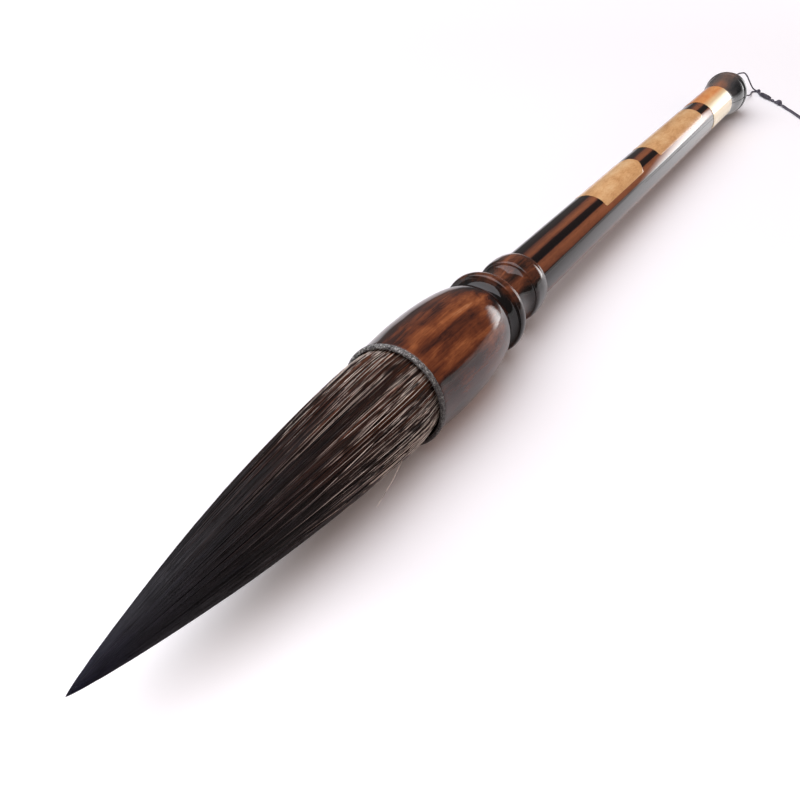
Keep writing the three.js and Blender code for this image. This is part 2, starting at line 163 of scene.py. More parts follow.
class Look(Nodes):
    """One procedural material: a Principled shader, and the fields that feed it."""

    def __init__(self, name, **sockets):
        self.material = bpy.data.materials.new(name)
        self.material.use_nodes = True
        super().__init__(self.material.node_tree)
        self.shader = self.tree.nodes["Principled BSDF"]
        for socket, value in sockets.items():
            self.set(socket.replace("_", " "), value)

    def set(self, socket, value):
        self.feed(self.shader.inputs[socket], value)

    def noise(self, vector, scale, detail, roughness=0.55, distortion=0.0):
        names = ("Vector", "Scale", "Detail", "Roughness", "Distortion")
        inputs = dict(zip(names, (vector, scale, detail, roughness, distortion)))
        return self.node("TexNoise", inputs)["Fac"]

    def grain(self, space, along, across, detail, roughness=0.55, distortion=0.0, shift=(0, 0, 0)):
        """Noise drawn out along the brush. along and across are its scales per mm."""
        inputs = {"Vector": space, "Scale": (along, across, across), "Location": shift}
        return self.noise(self.node("Mapping", inputs)[0], 1.0, detail, roughness, distortion)

    def around_zero(self, field, amount):
        """A noise field, whose middle is 0.5, spread to about -amount..amount."""
        return self.times(self.math("SUBTRACT", field, 0.5), 2 * amount)

    def ramp(self, factor, stops):
        made = self.tree.nodes.new("ShaderNodeValToRGB")
        self.feed(made.inputs["Fac"], factor)
        elements = made.color_ramp.elements
        elements.remove(elements[0])
        for index, (position, colour) in enumerate(stops):
            stop = elements.new(position) if index else elements[0]
            stop.position, stop.color = position, colour
        return made.outputs["Color"]

    def bump(self, height, distance, strength, after=None):
        """Relief of a height field, distance metres high, on top of the relief before it."""
        inputs = {"Height": height, "Distance": distance, "Strength": strength}
        if after is not None:
            inputs["Normal"] = after
        return self.node("Bump", inputs)[0]

    def brush_space(self):
        """Millimetres in the brush's own directions: along it, across it and up."""
        per_metre = 1 / MM
        turned_mouth = (-MOUTH @ AXIS, -MOUTH[1], -MOUTH @ UP)
        inputs = {
            "Vector": self.node("TexCoord")["Object"],
            "Scale": (per_metre, per_metre, per_metre),
            "Rotation": (0, -TILT, 0),
            "Location": [per_metre * v for v in turned_mouth],
        }
        return self.node("Mapping", inputs)[0]

    def angle(self, space):
        """Degrees round the axis, from its upper side towards the camera's side."""
        _, across, up = self.split(space)
        turned_by = self.math("ARCTAN2", self.times(across, -1.0), up)
        return self.times(turned_by, 180 / math.pi)


def wood_look(
    name, bands, tones, rings, wobble, figure, patches, grain, lacquer=0.05,
    twist=0.0, relief=0.01, gloss=0.5
):
    """Lacquered wood. bands are (angle, shade) stops round the axis, rings (along, shade added)
    stops, and tones the colours from dark to light. wobble is how many degrees a band strays,
    twist how many it turns per mm, and figure, patches and grain what the broad streaks, the
    clouds and the fine lines add to the shade. relief is the height of the lines in mm, and also
    sets how much the lacquer ripples. lacquer is its roughness, gloss its specular level."""
    look = Look(f"{name}_lacquered_wood", Roughness=lacquer, IOR=1.5, Specular_IOR_Level=gloss)
    space = look.brush_space()
    along = look.split(space)[0]
    streaks = look.grain(space, 0.045, 0.34, 5.0, 0.62, 0.9)
    clouds = look.grain(space, 0.13, 0.24, 3.0, 0.55, 0.6, shift=(3, 5, 8))
    lines = look.grain(space, 0.07, 2.2, 4.0, 0.65, 0.4)
    stray = look.grain(space, 0.04, 0.12, 3.0, shift=(7, 3, 1))
    bent = look.add(look.angle(space), look.times(along, -twist))
    bent = look.add(bent, look.around_zero(stray, wobble))
    turn = look.add(look.math("DIVIDE", bent, 360.0), 0.5)
    shade = look.ramp(turn, [(a / 360 + 0.5, grey(s)) for a, s in bands])
    for field, amount in ((streaks, figure), (clouds, patches), (lines, grain)):
        shade = look.add(shade, look.around_zero(field, amount))
    # a ramp holds no values below 0, so the rings' shades are carried 0.5 higher
    first, last = rings[0][0], rings[-1][0]
    share = look.math("DIVIDE", look.math("SUBTRACT", along, first), last - first)
    stops = [((x - first) / (last - first), grey(added + 0.5)) for x, added in rings]
    shade = look.add(shade, look.math("SUBTRACT", look.ramp(share, stops), 0.5))
    steps = len(tones) - 1
    colour = look.ramp(shade, [(i / steps, tone) for i, tone in enumerate(tones)])
    pores = look.grain(space, 0.4, 6.0, 2.0)
    look.set("Base Color", look.mix(look.range(pores, 0.6, 0.7, 0.0, 0.5), colour, tones[0]))
    swell = look.grain(space, 0.06, 0.5, 2.0, shift=(2, 9, 4))
    rippled = look.bump(swell, 0.1 * MM, 0.15 + 4 * relief)
    look.set("Normal", look.bump(lines, relief * MM, 0.1, rippled))
    return look.material


CUP_TONES = palette((28, 20, 19), (62, 35, 28), (108, 58, 36), (152, 90, 54), (196, 136, 92))
COLLAR_TONES = palette((24, 22, 21), (46, 32, 27), (90, 52, 36), (138, 82, 54), (180, 118, 80))
HANDLE_TONES = palette((24, 19, 19), (40, 28, 25), (96, 58, 44), (146, 90, 60), (176, 118, 84))
CAP_TONES = palette((34, 37, 38), (70, 70, 70), (106, 90, 82), (150, 104, 80))

CUP_BANDS = [
    (-180, 0.35), (-120, 0.6), (-80, 0.3), (-45, 0.28), (-24, 0.3), (-12, 0.38), (0, 0.56),
    (11, 0.74), (19, 0.42), (28, 0.52), (42, 0.64), (54, 0.5), (60, 0.26), (72, 0.36),
    (90, 0.34), (102, 0.2), (135, 0.55), (180, 0.35),
]
# from 39 mm back the cup darkens: painted shade in the hollow beside the collar
CUP_RINGS = [
    (0, -0.12), (12, -0.1), (24, -0.06), (30, 0.0), (36, 0.0), (39, -0.2), (42, -0.5),
    (45.6, -0.5),
]
COLLAR_BANDS = [
    (-180, 0.15), (-120, 0.45), (-70, 0.2), (-40, 0.25), (-22, 0.4), (-8, 0.58), (8, 0.52),
    (22, 0.36), (34, 0.5), (46, 0.4), (58, 0.08), (110, 0.08), (140, 0.4), (180, 0.15),
]
# the scoop, from 45.9 to 48.7 mm, is darkened: painted shade in that hollow
COLLAR_RINGS = [
    (45.9, -0.5), (47.8, -0.5), (48.7, 0.0), (51, 0.12), (56, 0.1), (61, 0.06), (64, 0.0),
    (66, -0.04), (70, 0.0), (73.8, 0.0),
]
HANDLE_BANDS = [
    (-180, 0.6), (-158, 0.55), (-150, 0.05), (-118, 0.1), (-110, 0.65), (-86, 0.6), (-78, 0.05),
    (-34, 0.08), (-9, 0.14), (-3, 0.45), (4, 0.6), (10, 0.68), (15, 0.55), (19, 0.12), (23, 0.02),
    (31, 0.02), (35, 0.62), (42, 0.72), (57, 0.62), (63, 0.05), (98, 0.04), (106, 0.55),
    (128, 0.6), (136, 0.05), (168, 0.08), (174, 0.55), (180, 0.6),
]
HANDLE_RINGS = [(74, -0.06), (130, 0.08), (272, 0.08)]
# the cap darkens towards its right side, from 40° to 90°: a painted dark reflection
CAP_BANDS = [
    (-180, 0.3), (-90, 0.4), (-30, 0.45), (0, 0.7), (20, 0.6), (40, 0.15), (90, 0.0), (180, 0.3),
]
# the cap is lighter at its front, up to 281 mm: a painted reflection of the label
CAP_RINGS = [(272.8, 0.3), (277, 0.2), (281, 0.0), (297, 0.0)]


def ring_look():
    """Dull grey horn, speckled dark and light, with painted shade darkening it towards the table.
    """
    look = Look("speckled_horn", Roughness=0.6)
    space = look.brush_space()
    speck = look.noise(space, 1.3, 3.0, 0.75)
    fine = look.noise(space, 3.6, 2.0, 0.6)
    mixed = look.add(look.times(speck, 0.5), look.times(fine, 0.5))
    greys = colour_stops(
        (0.4, 26, 25, 25), (0.47, 84, 82, 80), (0.53, 118, 116, 113), (0.6, 206, 208, 202)
    )
    # painted shade: the horn turns dark brown round its lower side, from 15° to 75° round the axis
    below = look.range(look.angle(space), 15.0, 75.0, 0.0, 0.72)
    look.set("Base Color", look.mix(below, look.ramp(mixed, greys), srgb(30, 20, 18)))
    look.set("Roughness", look.range(mixed, 0.35, 0.65, 0.8, 0.45))
    look.set("Normal", look.bump(mixed, 0.3 * MM, 0.9))
    return look.material


# colours from the root of the hair to its tip; the tips' blue is a painted cast of cool light
DARK_HAIR = colour_stops(
    (0.0, 28, 21, 20), (0.3, 31, 25, 24), (0.6, 38, 35, 36), (0.85, 44, 43, 49), (1.0, 54, 54, 76)
)
WARM_HAIR = colour_stops(
    (0.0, 172, 104, 68), (0.25, 132, 78, 52), (0.5, 68, 45, 38), (0.75, 46, 40, 41),
    (1.0, 52, 51, 70),
)
PALE_HAIR = colour_stops(
    (0.0, 255, 244, 230), (0.15, 255, 240, 226), (0.24, 226, 207, 193), (0.33, 142, 126, 119),
    (0.44, 88, 79, 77), (0.75, 56, 52, 55), (1.0, 54, 54, 74),
)
GLEAMS_PER_MM = 0.11  # stretches of a hair that catch the light
HAIRS_APART = 83.0  # in the noise behind the gleams, so that each hair has its own


def hair_look():
    """Badger hair: pale hairs among brown at the root, dark along the belly, black at the tip
    under a painted blue cast of cool light. Each strand carries its own tone, warmth and chance as
    the attribute "strand"."""
    look = Look("badger_hair", IOR=1.5, Specular_IOR_Level=0.3)
    space = look.brush_space()
    along = look.split(space)[0]
    share = look.math("DIVIDE", along, -HAIR_LENGTH)
    strand = look.split(look.node("Attribute", attribute_name="strand")["Vector"])
    tone, warmth, chance = strand[0], strand[1], strand[2]
    faded = look.times(share, look.range(chance, 0.0, 1.0, 0.6, 1.45))
    # painted glints: the pale and warm colours show in the stretches of each hair that catch the
    # light
    spot = {0: look.times(along, GLEAMS_PER_MM), 1: look.times(chance, HAIRS_APART)}
    spots = look.noise(look.node("CombineXYZ", spot)[0], 1.0, 2.0)
    lit = look.range(spots, 0.42, 0.54, 0.04, 1.0)
    warmed = look.times(warmth, look.range(lit, 0.0, 1.0, 0.5, 1.0))
    colour = look.mix(warmed, look.ramp(share, DARK_HAIR), look.ramp(share, WARM_HAIR))
    colour = look.mix(look.times(tone, lit), colour, look.ramp(faded, PALE_HAIR))
    flecks = look.grain(space, 0.2, 0.9, 2.0)
    colour = look.mix(look.range(flecks, 0.35, 0.7, 0.0, 0.35), colour, grey(0.004))
    look.set("Base Color", colour)
    look.set("Roughness", look.range(chance, 0.0, 1.0, 0.34, 0.52))
    return look.material


def under_hair_look():
    look = Look("inner_hair", Roughness=0.75)
    lines = look.grain(look.brush_space(), 0.06, 3.0, 4.0, 0.65)
    browns = colour_stops((0.35, 16, 13, 13), (0.55, 40, 30, 27), (0.75, 72, 50, 40))
    look.set("Base Color", look.ramp(lines, browns))
    look.set("Normal", look.bump(lines, 0.3 * MM, 0.8))
    return look.material


def label_look(name, tones, glare_cream=None):
    """Bare pale paper under lacquer. A pale colour, if one is given, takes over towards the right
    as a painted reflection of the window.
    """
    look = Look(name, Roughness=0.06, IOR=1.5)
    space = look.brush_space()
    cloud = look.grain(space, 0.12, 0.25, 5.0, 0.6)
    fibre = look.grain(space, 0.6, 3.0, 3.0, 0.6)
    mixed = look.add(look.times(cloud, 0.6), look.times(fibre, 0.4))
    colour = look.ramp(mixed, [(0.32, tones[0]), (0.5, tones[1]), (0.68, tones[2])])
    if glare_cream:
        # painted reflection: the window's glare on the label, as a pale colour towards the right
        colour = look.mix(look.range(look.angle(space), 6.0, 36.0), colour, glare_cream)
    look.set("Base Color", colour)
    look.set("Normal", look.bump(fibre, 0.02 * MM, 0.2))
    return look.material


def thread_look(name, dark, light):
    """Spun thread: fibre flecks and a fine fuzz of bump."""
    look = Look(name, Roughness=0.75, Sheen_Weight=0.3, Sheen_Roughness=0.5)
    fibre = look.noise(look.brush_space(), 9.0, 3.0, 0.65)
    look.set("Base Color", look.ramp(fibre, [(0.35, dark), (0.65, light)]))
    look.set("Normal", look.bump(fibre, 0.08 * MM, 0.6))
    return look.material


def resin_look():
    look = Look("root_resin_amber", Roughness=0.35)
    bubbles = look.noise(look.brush_space(), 1.2, 3.0, 0.6)
    ambers = colour_stops((0.35, 96, 62, 30), (0.65, 148, 104, 56))
    look.set("Base Color", look.ramp(bubbles, ambers))
    look.set("Normal", look.bump(bubbles, 0.2 * MM, 0.5))
    return look.material


# ---- meshes ----
def placed(name, data):
    made = bpy.data.objects.new(name, data)
    bpy.context.scene.collection.objects.link(made)
    return made


def mesh_piece(name, points, faces, material, replaced=(), sharp=None):
    """A smooth-shaded piece that rides on the root. faces is a list of arrays, each of faces
    with equally many corners."""
    mesh = bpy.data.meshes.new(name)
    corners = np.concatenate([f.ravel() for f in faces])
    sizes = np.concatenate([np.full(len(f), f.shape[1]) for f in faces])
    mesh.vertices.add(len(points))
    mesh.vertices.foreach_set("co", np.asarray(points, np.float32).ravel())
    mesh.loops.add(len(corners))
    mesh.loops.foreach_set("vertex_index", corners.astype(np.int32))
    mesh.polygons.add(len(sizes))
    starts = np.concatenate([[0], np.cumsum(sizes)[:-1]])
    mesh.polygons.foreach_set("loop_start", starts.astype(np.int32))
    mesh.update(calc_edges=True)
    mesh.validate()
    mesh.shade_smooth()
    if sharp is not None:
        mesh.set_sharp_from_angle(angle=math.radians(sharp))
    mesh.materials.append(material)
    piece = placed(name, mesh)
    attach(piece, "root")
    if replaced:
        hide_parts(*replaced)
    return piece


def between(end, onward, outward):
    """A curve to end, by these shares of the way from the outline's point before it."""
    return lambda start: [
        (start[0] + (end[0] - start[0]) * a, start[1] + (end[1] - start[1]) * b)
        for a, b in zip(onward, outward)
    ]


def quarter(end, steps, leaves_along):
    """A quarter of an ellipse, which sets out along the brush, or else straight in or out."""
    turn = np.linspace(0, math.pi / 2, steps + 1)[1:]
    fast, slow = np.sin(turn), 1 - np.cos(turn)
    return between(end, *((fast, slow) if leaves_along else (slow, fast)))


def ogee(end, steps):
    """An S-curve, level at both ends."""
    share = np.linspace(0, 1, steps + 1)[1:]
    return between(end, share, (1 - np.cos(share * math.pi)) / 2)


def blind(end, length, radius):
    """Outline of a tenon or of a blind socket, from its root at end to the brush's axis."""
    return [(end, radius), (end + length, radius), (end + length, 0)]


def whole_turn(count):
    return np.arange(count) * math.tau / count


def turned(name, outline, material, replaced, sides, sharp=32):
    """Revolves an outline of (along, radius) points and curves. One that ends on its first
    point closes. Edges sharper than sharp degrees stay crisp."""
    line = []
    for part in outline:
        line += part(line[-1]) if callable(part) else [part]
    closed = line[0] == line[-1]
    points, rings = [], []
    for along, radius in line[:-1] if closed else line:
        count = sides if radius > 0 else 1
        rings.append(len(points) + np.arange(sides) % count)
        points.extend(on_brush(along, radius, whole_turn(sides)[:count]))
    quads, triangles = [], []
    for low, high in zip(rings, rings[1:] + (rings[:1] if closed else [])):
        low_next, high_next = np.roll(low, -1), np.roll(high, -1)
        if low[0] == low[1]:
            triangles.append(np.stack([low, high_next, high], 1))
        elif high[0] == high[1]:
            triangles.append(np.stack([low, low_next, high], 1))
        else:
            quads.append(np.stack([low, low_next, high_next, high], 1))
    return mesh_piece(name, points, quads + triangles, material, replaced, sharp)


def tube_mesh(centres, across, upward, radii, first=0):
    """Points and faces of tubes. centres is (tubes, rings, 3), across and upward the two
    directions of each section, and radii (tubes, rings, sides). Both ends close."""
    tubes, rings, sides = radii.shape
    turn = whole_turn(sides)
    outward = swung(turn, across[:, :, None], upward[:, :, None])
    points = centres[:, :, None] + radii[..., None] * outward
    index = first + np.arange(tubes * rings * sides).reshape(tubes, rings, sides)
    low, high = index[:, :-1], index[:, 1:]
    quads = np.stack([low, np.roll(low, -1, 2), np.roll(high, -1, 2), high], -1).reshape(-1, 4)
    ends = [index[:, 0, ::-1], index[:, -1]]
    return points.reshape(-1, 3), quads, ends


def run_along(path):
    """How far along a path each of its points lies."""
    return np.concatenate([[0], np.cumsum(np.linalg.norm(np.diff(path, axis=0), axis=1))])


def along_path(path):
    """Tangents and two steady cross directions for points on a path."""
    tangent = np.gradient(path, axis=0)
    tangent /= np.linalg.norm(tangent, axis=1, keepdims=True)
    across = np.empty_like(path)
    start = np.cross(tangent[0], (0.0, 0.0, 1.0))
    across[0] = start / np.linalg.norm(start)
    for i in range(1, len(path)):
        kept = across[i - 1] - (across[i - 1] @ tangent[i]) * tangent[i]
        across[i] = kept / np.linalg.norm(kept)
    return tangent, across, np.cross(tangent, across)


THREAD_PLIES = 3
PLY_RELIEF = 0.16  # how deep the grooves between the plies are, as a share of the radius
CURVE_STEPS = 24  # between two points of a smooth path, before it is cut into even steps


def thread_piece(name, path, radius, material, replaced, lay=2.4, sides=15):
    """A twisted thread along a path in metres: a lobed section that turns once per lay."""
    tangent, across, upward = along_path(path)
    twist = math.tau * (run_along(path)[:, None] / MM) / lay
    lobes = np.abs(np.cos(THREAD_PLIES / 2 * (whole_turn(sides)[None] - twist)))
    radii = radius * (1 - PLY_RELIEF + PLY_RELIEF * lobes) * MM
    points, quads, ends = tube_mesh(path[None], across[None], upward[None], radii[None])
    return mesh_piece(name, points, [quads, *ends], material, replaced)


def smooth_path(points, step):
    """A centripetal Catmull-Rom curve through the points, in even steps."""
    points = np.asarray(points, float)
    padded = np.vstack([2 * points[0] - points[1], points, 2 * points[-1] - points[-2]])
    curve = []
    for p0, p1, p2, p3 in zip(padded, padded[1:], padded[2:], padded[3:]):
        t1 = np.linalg.norm(p1 - p0) ** 0.5
        t2 = t1 + np.linalg.norm(p2 - p1) ** 0.5
        t3 = t2 + np.linalg.norm(p3 - p2) ** 0.5
        t = np.linspace(t1, t2, CURVE_STEPS, endpoint=False)[:, None]
        a1 = (t1 - t) / t1 * p0 + t / t1 * p1
        a2 = (t2 - t) / (t2 - t1) * p1 + (t - t1) / (t2 - t1) * p2
        a3 = (t3 - t) / (t3 - t2) * p2 + (t - t2) / (t3 - t2) * p3
        b1 = (t2 - t) / t2 * a1 + t / t2 * a2
        b2 = (t3 - t) / (t3 - t1) * a2 + (t - t1) / (t3 - t1) * a3
        curve.append((t2 - t) / (t2 - t1) * b1 + (t - t1) / (t2 - t1) * b2)
    curve = np.vstack([*curve, points[-1:]])
    run = run_along(curve)
    even = np.linspace(0, run[-1], max(2, round(run[-1] / step) + 1))
    return np.stack([np.interp(even, run, curve[:, k]) for k in range(3)], 1)


# ---- camera, at the photograph's place ----
# in the brush's own directions: along it, across it and up
CAMERA_PLACE = (-180.724, -111.12, 147.609)
CAMERA_FORWARD = (0.699769, 0.42431, -0.574704)
CAMERA_UP = (0.485537, 0.30761, 0.818309)

directions = np.array([AXIS, SIDE, UP])
camera_data = bpy.data.cameras.new("camera")
camera_data.lens, camera_data.sensor_width = 45, 36
camera_data.clip_start, camera_data.clip_end = 0.01, 50
camera = placed("camera", camera_data)
camera.location = MOUTH + np.array(CAMERA_PLACE) @ directions * MM
forward = Vector(np.array(CAMERA_FORWARD) @ directions)
upward = Vector(np.array(CAMERA_UP) @ directions)
camera.rotation_mode = "QUATERNION"
camera.rotation_quaternion = (
    Matrix((forward.cross(upward), upward, -forward)).transposed().to_quaternion()
)
bpy.context.scene.camera = camera

# ---- hanging cord, one strand folded double and knotted ----
CORD_OVER_TABLE = 0.02
CORD_STEP = 0.25 * MM
PAIR_RADIUS = 0.72
PAIR_TURNS = 3.5  # how often the two twisted strands turn round each other
PAIR_GAP = 0.02  # between the two twisted strands
CHAMBER_END = CAP_FRONT + REAR_TENON_LENGTH + KNOT_CHAMBER_LENGTH
LEG_STRAIGHT = 1.5  # a leg runs straight out of the hole for this far
STOPPER_RADIUS = 2.2
hole_mouth = on_brush(CAP_REAR, 0.0, 0.0)


def cord_place(behind, left, lift, radius=STRAND_RADIUS):
    """A place on the cord's route, from the mouth of the cap's hole: how far behind it, how far
    to its left, and how high, where 0 lies on the table and 1 is level with the hole."""
    low = (radius + CORD_OVER_TABLE) * MM
    height = low + (hole_mouth[2] - low) * lift
    return np.array([hole_mouth[0] + behind * MM, hole_mouth[1] + left * MM, height])


# places on the route, as cord_place takes them
FIRST_KNOT = (28.4, -6.9)
SLIDE_KNOT = (16.5, -19.8)
LEFT_LEG = [
    (5, 1.2, 1.02), (11, 2.4, 1.05), (17, 2.9, 1.06), (22.9, 2.5, 1.03), (25.7, 0.9, 0.99),
    (26.9, -0.4, 0.81), (28.1, -1.5, 0.55), (29.2, -2.7, 0.28), (29.7, -3.8, 0.11),
    (29.8, -5.1, 0.03), (29.5, -6.3, 0.012), (28.9, -7.3, 0.012),
]
RIGHT_LEG = [
    (3, -1.3, 0.93), (6.5, -2.6, 0.7), (11.5, -3.6, 0.42), (16, -4.5, 0.2), (20, -4.8, 0.09),
    (23.2, -4.6, 0.04), (25.4, -4.2, 0.015), (27, -4.1, 0.012), (28.3, -4.6, 0.01),
    (28.8, -5.7, 0.012), (28.4, -6.7, 0.022),
]
PAIR = [
    (27.9, -7.4), (26.3, -7.9), (24.9, -8.9), (22.7, -11.5), (20.6, -14.5), (19.3, -16.3),
    (17.9, -18.1), (16.5, -19.9), (15, -21.8),
]
WHIPPED = slice(2, 5)  # the pair's points that the whipping covers
LOOP_LIFT = 0.003
LOOP = [
    (12.7, -23.7), (10.6, -26), (8.5, -28), (6.6, -29.8), (4.6, -31.7), (2.1, -34.2),
    (-0.7, -36.8), (-4.8, -39.6), (-10.8, -43.2), (-17.2, -46.9), (-22.9, -51.2),
    (-26.9, -56.2), (-27.9, -61.3), (-24.9, -64.8), (-19.4, -64.1), (-13.3, -59.9),
    (-7.7, -53.8), (-3.3, -47.2), (-0.5, -41.6), (0.9, -37.8), (2.9, -35), (5.4, -32.5),
    (7.4, -30.6), (9.3, -28.8), (11.4, -26.8), (13.5, -24.5),
]

pair_line = smooth_path([cord_place(*spot, 0, PAIR_RADIUS) for spot in PAIR], CORD_STEP)
_, pair_across, pair_upward = along_path(pair_line)
pair_turn = np.linspace(math.pi, math.pi * (1 + 2 * PAIR_TURNS), len(pair_line))
pair_outward = swung(pair_turn, pair_across, pair_upward)
pair_offset = pair_outward * (STRAND_RADIUS + PAIR_GAP / 2) * MM
every_fifth = slice(None, None, 5)  # of the pair's points


def leg_line(side, places):
    """One leg, from the knot's chamber through the hole and along its places."""
    inside = [CHAMBER_END + SEAM, (CHAMBER_END + CAP_REAR) / 2, CAP_REAR, CAP_REAR + LEG_STRAIGHT]
    straight = [on_brush(along, side * STRAND_PITCH / 2, -math.pi / 2) for along in inside]
    return [*straight, *(cord_place(*place) for place in places)]


strand_points = [
    *leg_line(1, LEFT_LEG),
    *(pair_line + pair_offset)[every_fifth],
    *(cord_place(*spot, LOOP_LIFT) for spot in LOOP),
    *(pair_line - pair_offset)[::-1][every_fifth],
    *leg_line(-1, RIGHT_LEG)[::-1],
]
strand_path = smooth_path(strand_points, CORD_STEP)

cord_material = thread_look("cord_thread", srgb(40, 37, 44), srgb(92, 86, 102))
strand = thread_piece(
    "cord_strand", strand_path, STRAND_RADIUS, cord_material,
    ["cord_leg_left", "cord_leg_right", "cord_front_pair", "cord_rear_pair", "cord_loop"],
)

WINDING_STEPS = 24  # in each turn
KNOT_STEPS = 13  # along the middle line of a knot
WHIPPING_THICKNESS = 0.33
STOPPER_INSET = 0.5  # of the winding's ends from the ends of the knot


def wound(name, line, radii, turns, thread, replaced, slant=0.0):
    """Thread wound round a line: a helix whose radius in mm follows radii along it, each turn
    leaning by slant mm to either side."""
    _, across, upward = along_path(line)
    count = turns * WINDING_STEPS
    at = np.linspace(0, len(line) - 1, count)
    spot, cross, rise = (
        np.stack([np.interp(at, np.arange(len(line)), v[:, k]) for k in range(3)], 1)
        for v in (line, across, upward)
    )
    radius = np.interp(np.linspace(0, 1, count), np.linspace(0, 1, len(radii)), radii) * MM
    turn = np.linspace(0, turns * math.tau, count)
    heading = np.gradient(spot, axis=0)
    lean = slant * MM * np.sin(turn)[:, None] * heading
    lean /= np.linalg.norm(heading, axis=1, keepdims=True)
    path = spot + lean + radius[:, None] * swung(turn, cross, rise)
    return thread_piece(name, path, thread, cord_material, replaced, lay=1.6, sides=9)


def knot_line(centre, start, end, length, radius):
    """The middle line of a knot on the table, which heads from start to end."""
    heading = math.atan2(end[1] - start[1], end[0] - start[0])
    middle = cord_place(*centre, 0, radius)
    way = np.array([math.cos(heading), math.sin(heading), 0.0])
    return middle + np.linspace(-length / 2, length / 2, KNOT_STEPS)[:, None] * way * MM


first_knot = wound(
    "cord_knot_first",
    knot_line(FIRST_KNOT, FIRST_KNOT, PAIR[1], length=1.3, radius=0.95),
    radii=[0.3, 0.6, 0.64, 0.6, 0.3], turns=4, thread=0.3,
    replaced=["cord_first_knot"], slant=0.22,
)
slide_knot = wound(
    "cord_knot_slide",
    knot_line(SLIDE_KNOT, PAIR[5], SLIDE_KNOT, length=2.2, radius=1.3),
    radii=[0.5, 0.86, 0.94, 0.86, 0.5], turns=5, thread=0.34,
    replaced=["cord_slide_knot"], slant=0.2,
)
whipping_radius = PAIR_RADIUS + WHIPPING_THICKNESS
whipping_middles = [cord_place(*spot, 0, whipping_radius) for spot in PAIR[WHIPPED]]
whipping = wound(
    "cord_whipping_thread",
    smooth_path(whipping_middles, 0.1 * MM),
    radii=[0.6, 0.86, 0.87, 0.88, 0.86, 0.6], turns=15, thread=0.17,
    replaced=["cord_whipping"],
)
stopper_from = CHAMBER_END - 2 * STOPPER_RADIUS + STOPPER_INSET
stopper_along = np.linspace(stopper_from, CHAMBER_END - STOPPER_INSET, KNOT_STEPS)
stopper = wound(
    "cord_knot_stopper",
    on_brush(stopper_along, 0.0, 0.0),
    radii=[0.5, 1.4, 1.75, 1.8, 1.7, 1.3, 0.5], turns=7, thread=0.38,
    replaced=["cord_stopper_knot"], slant=0.3,
)
on_brush(CAP_REAR, STRAND_PITCH / 2, -math.pi / 2)

# ---- hair head ----
HAIR_SEED = 11
HAIRS_PER_QUARTER = 1750
PALE_HAIRS = (58, 58, 66, 24)  # in each quarter
LOCKS_PER_QUARTER = 42
HAIR_RINGS = 17  # sections of a hair from its root to its tip
HAIR_ROOT = 3.4  # where the hairs start, inside the ring
HAIR_RADIUS, PALE_HAIR_RADIUS = 0.095, 0.092
ROOT_TAPER = 0.15  # how much the bundle narrows per mm inside the ring
LONG_SHARE = 0.45  # share of the hairs that reach the tip, or nearly
GREYED_SHARE = 0.12  # share of the dark hairs that are a little pale


def hair_radius(along):
    """The ogive: radius of the free hair, and of the bundle inside the ring."""
    along = np.asarray(along, float)
    behind_tip = np.clip(1 + along / HAIR_LENGTH, 0, 1)
    free = BELLY_RADIUS * (1 - (1 - behind_tip) ** OGIVE_FULLNESS) ** OGIVE_BLUNTNESS
    return np.where(along > 0, BELLY_RADIUS - along * ROOT_TAPER, free)


def smoothstep(low, high, value):
    t = np.clip((value - low) / (high - low), 0, 1)
    return t * t * (3 - 2 * t)


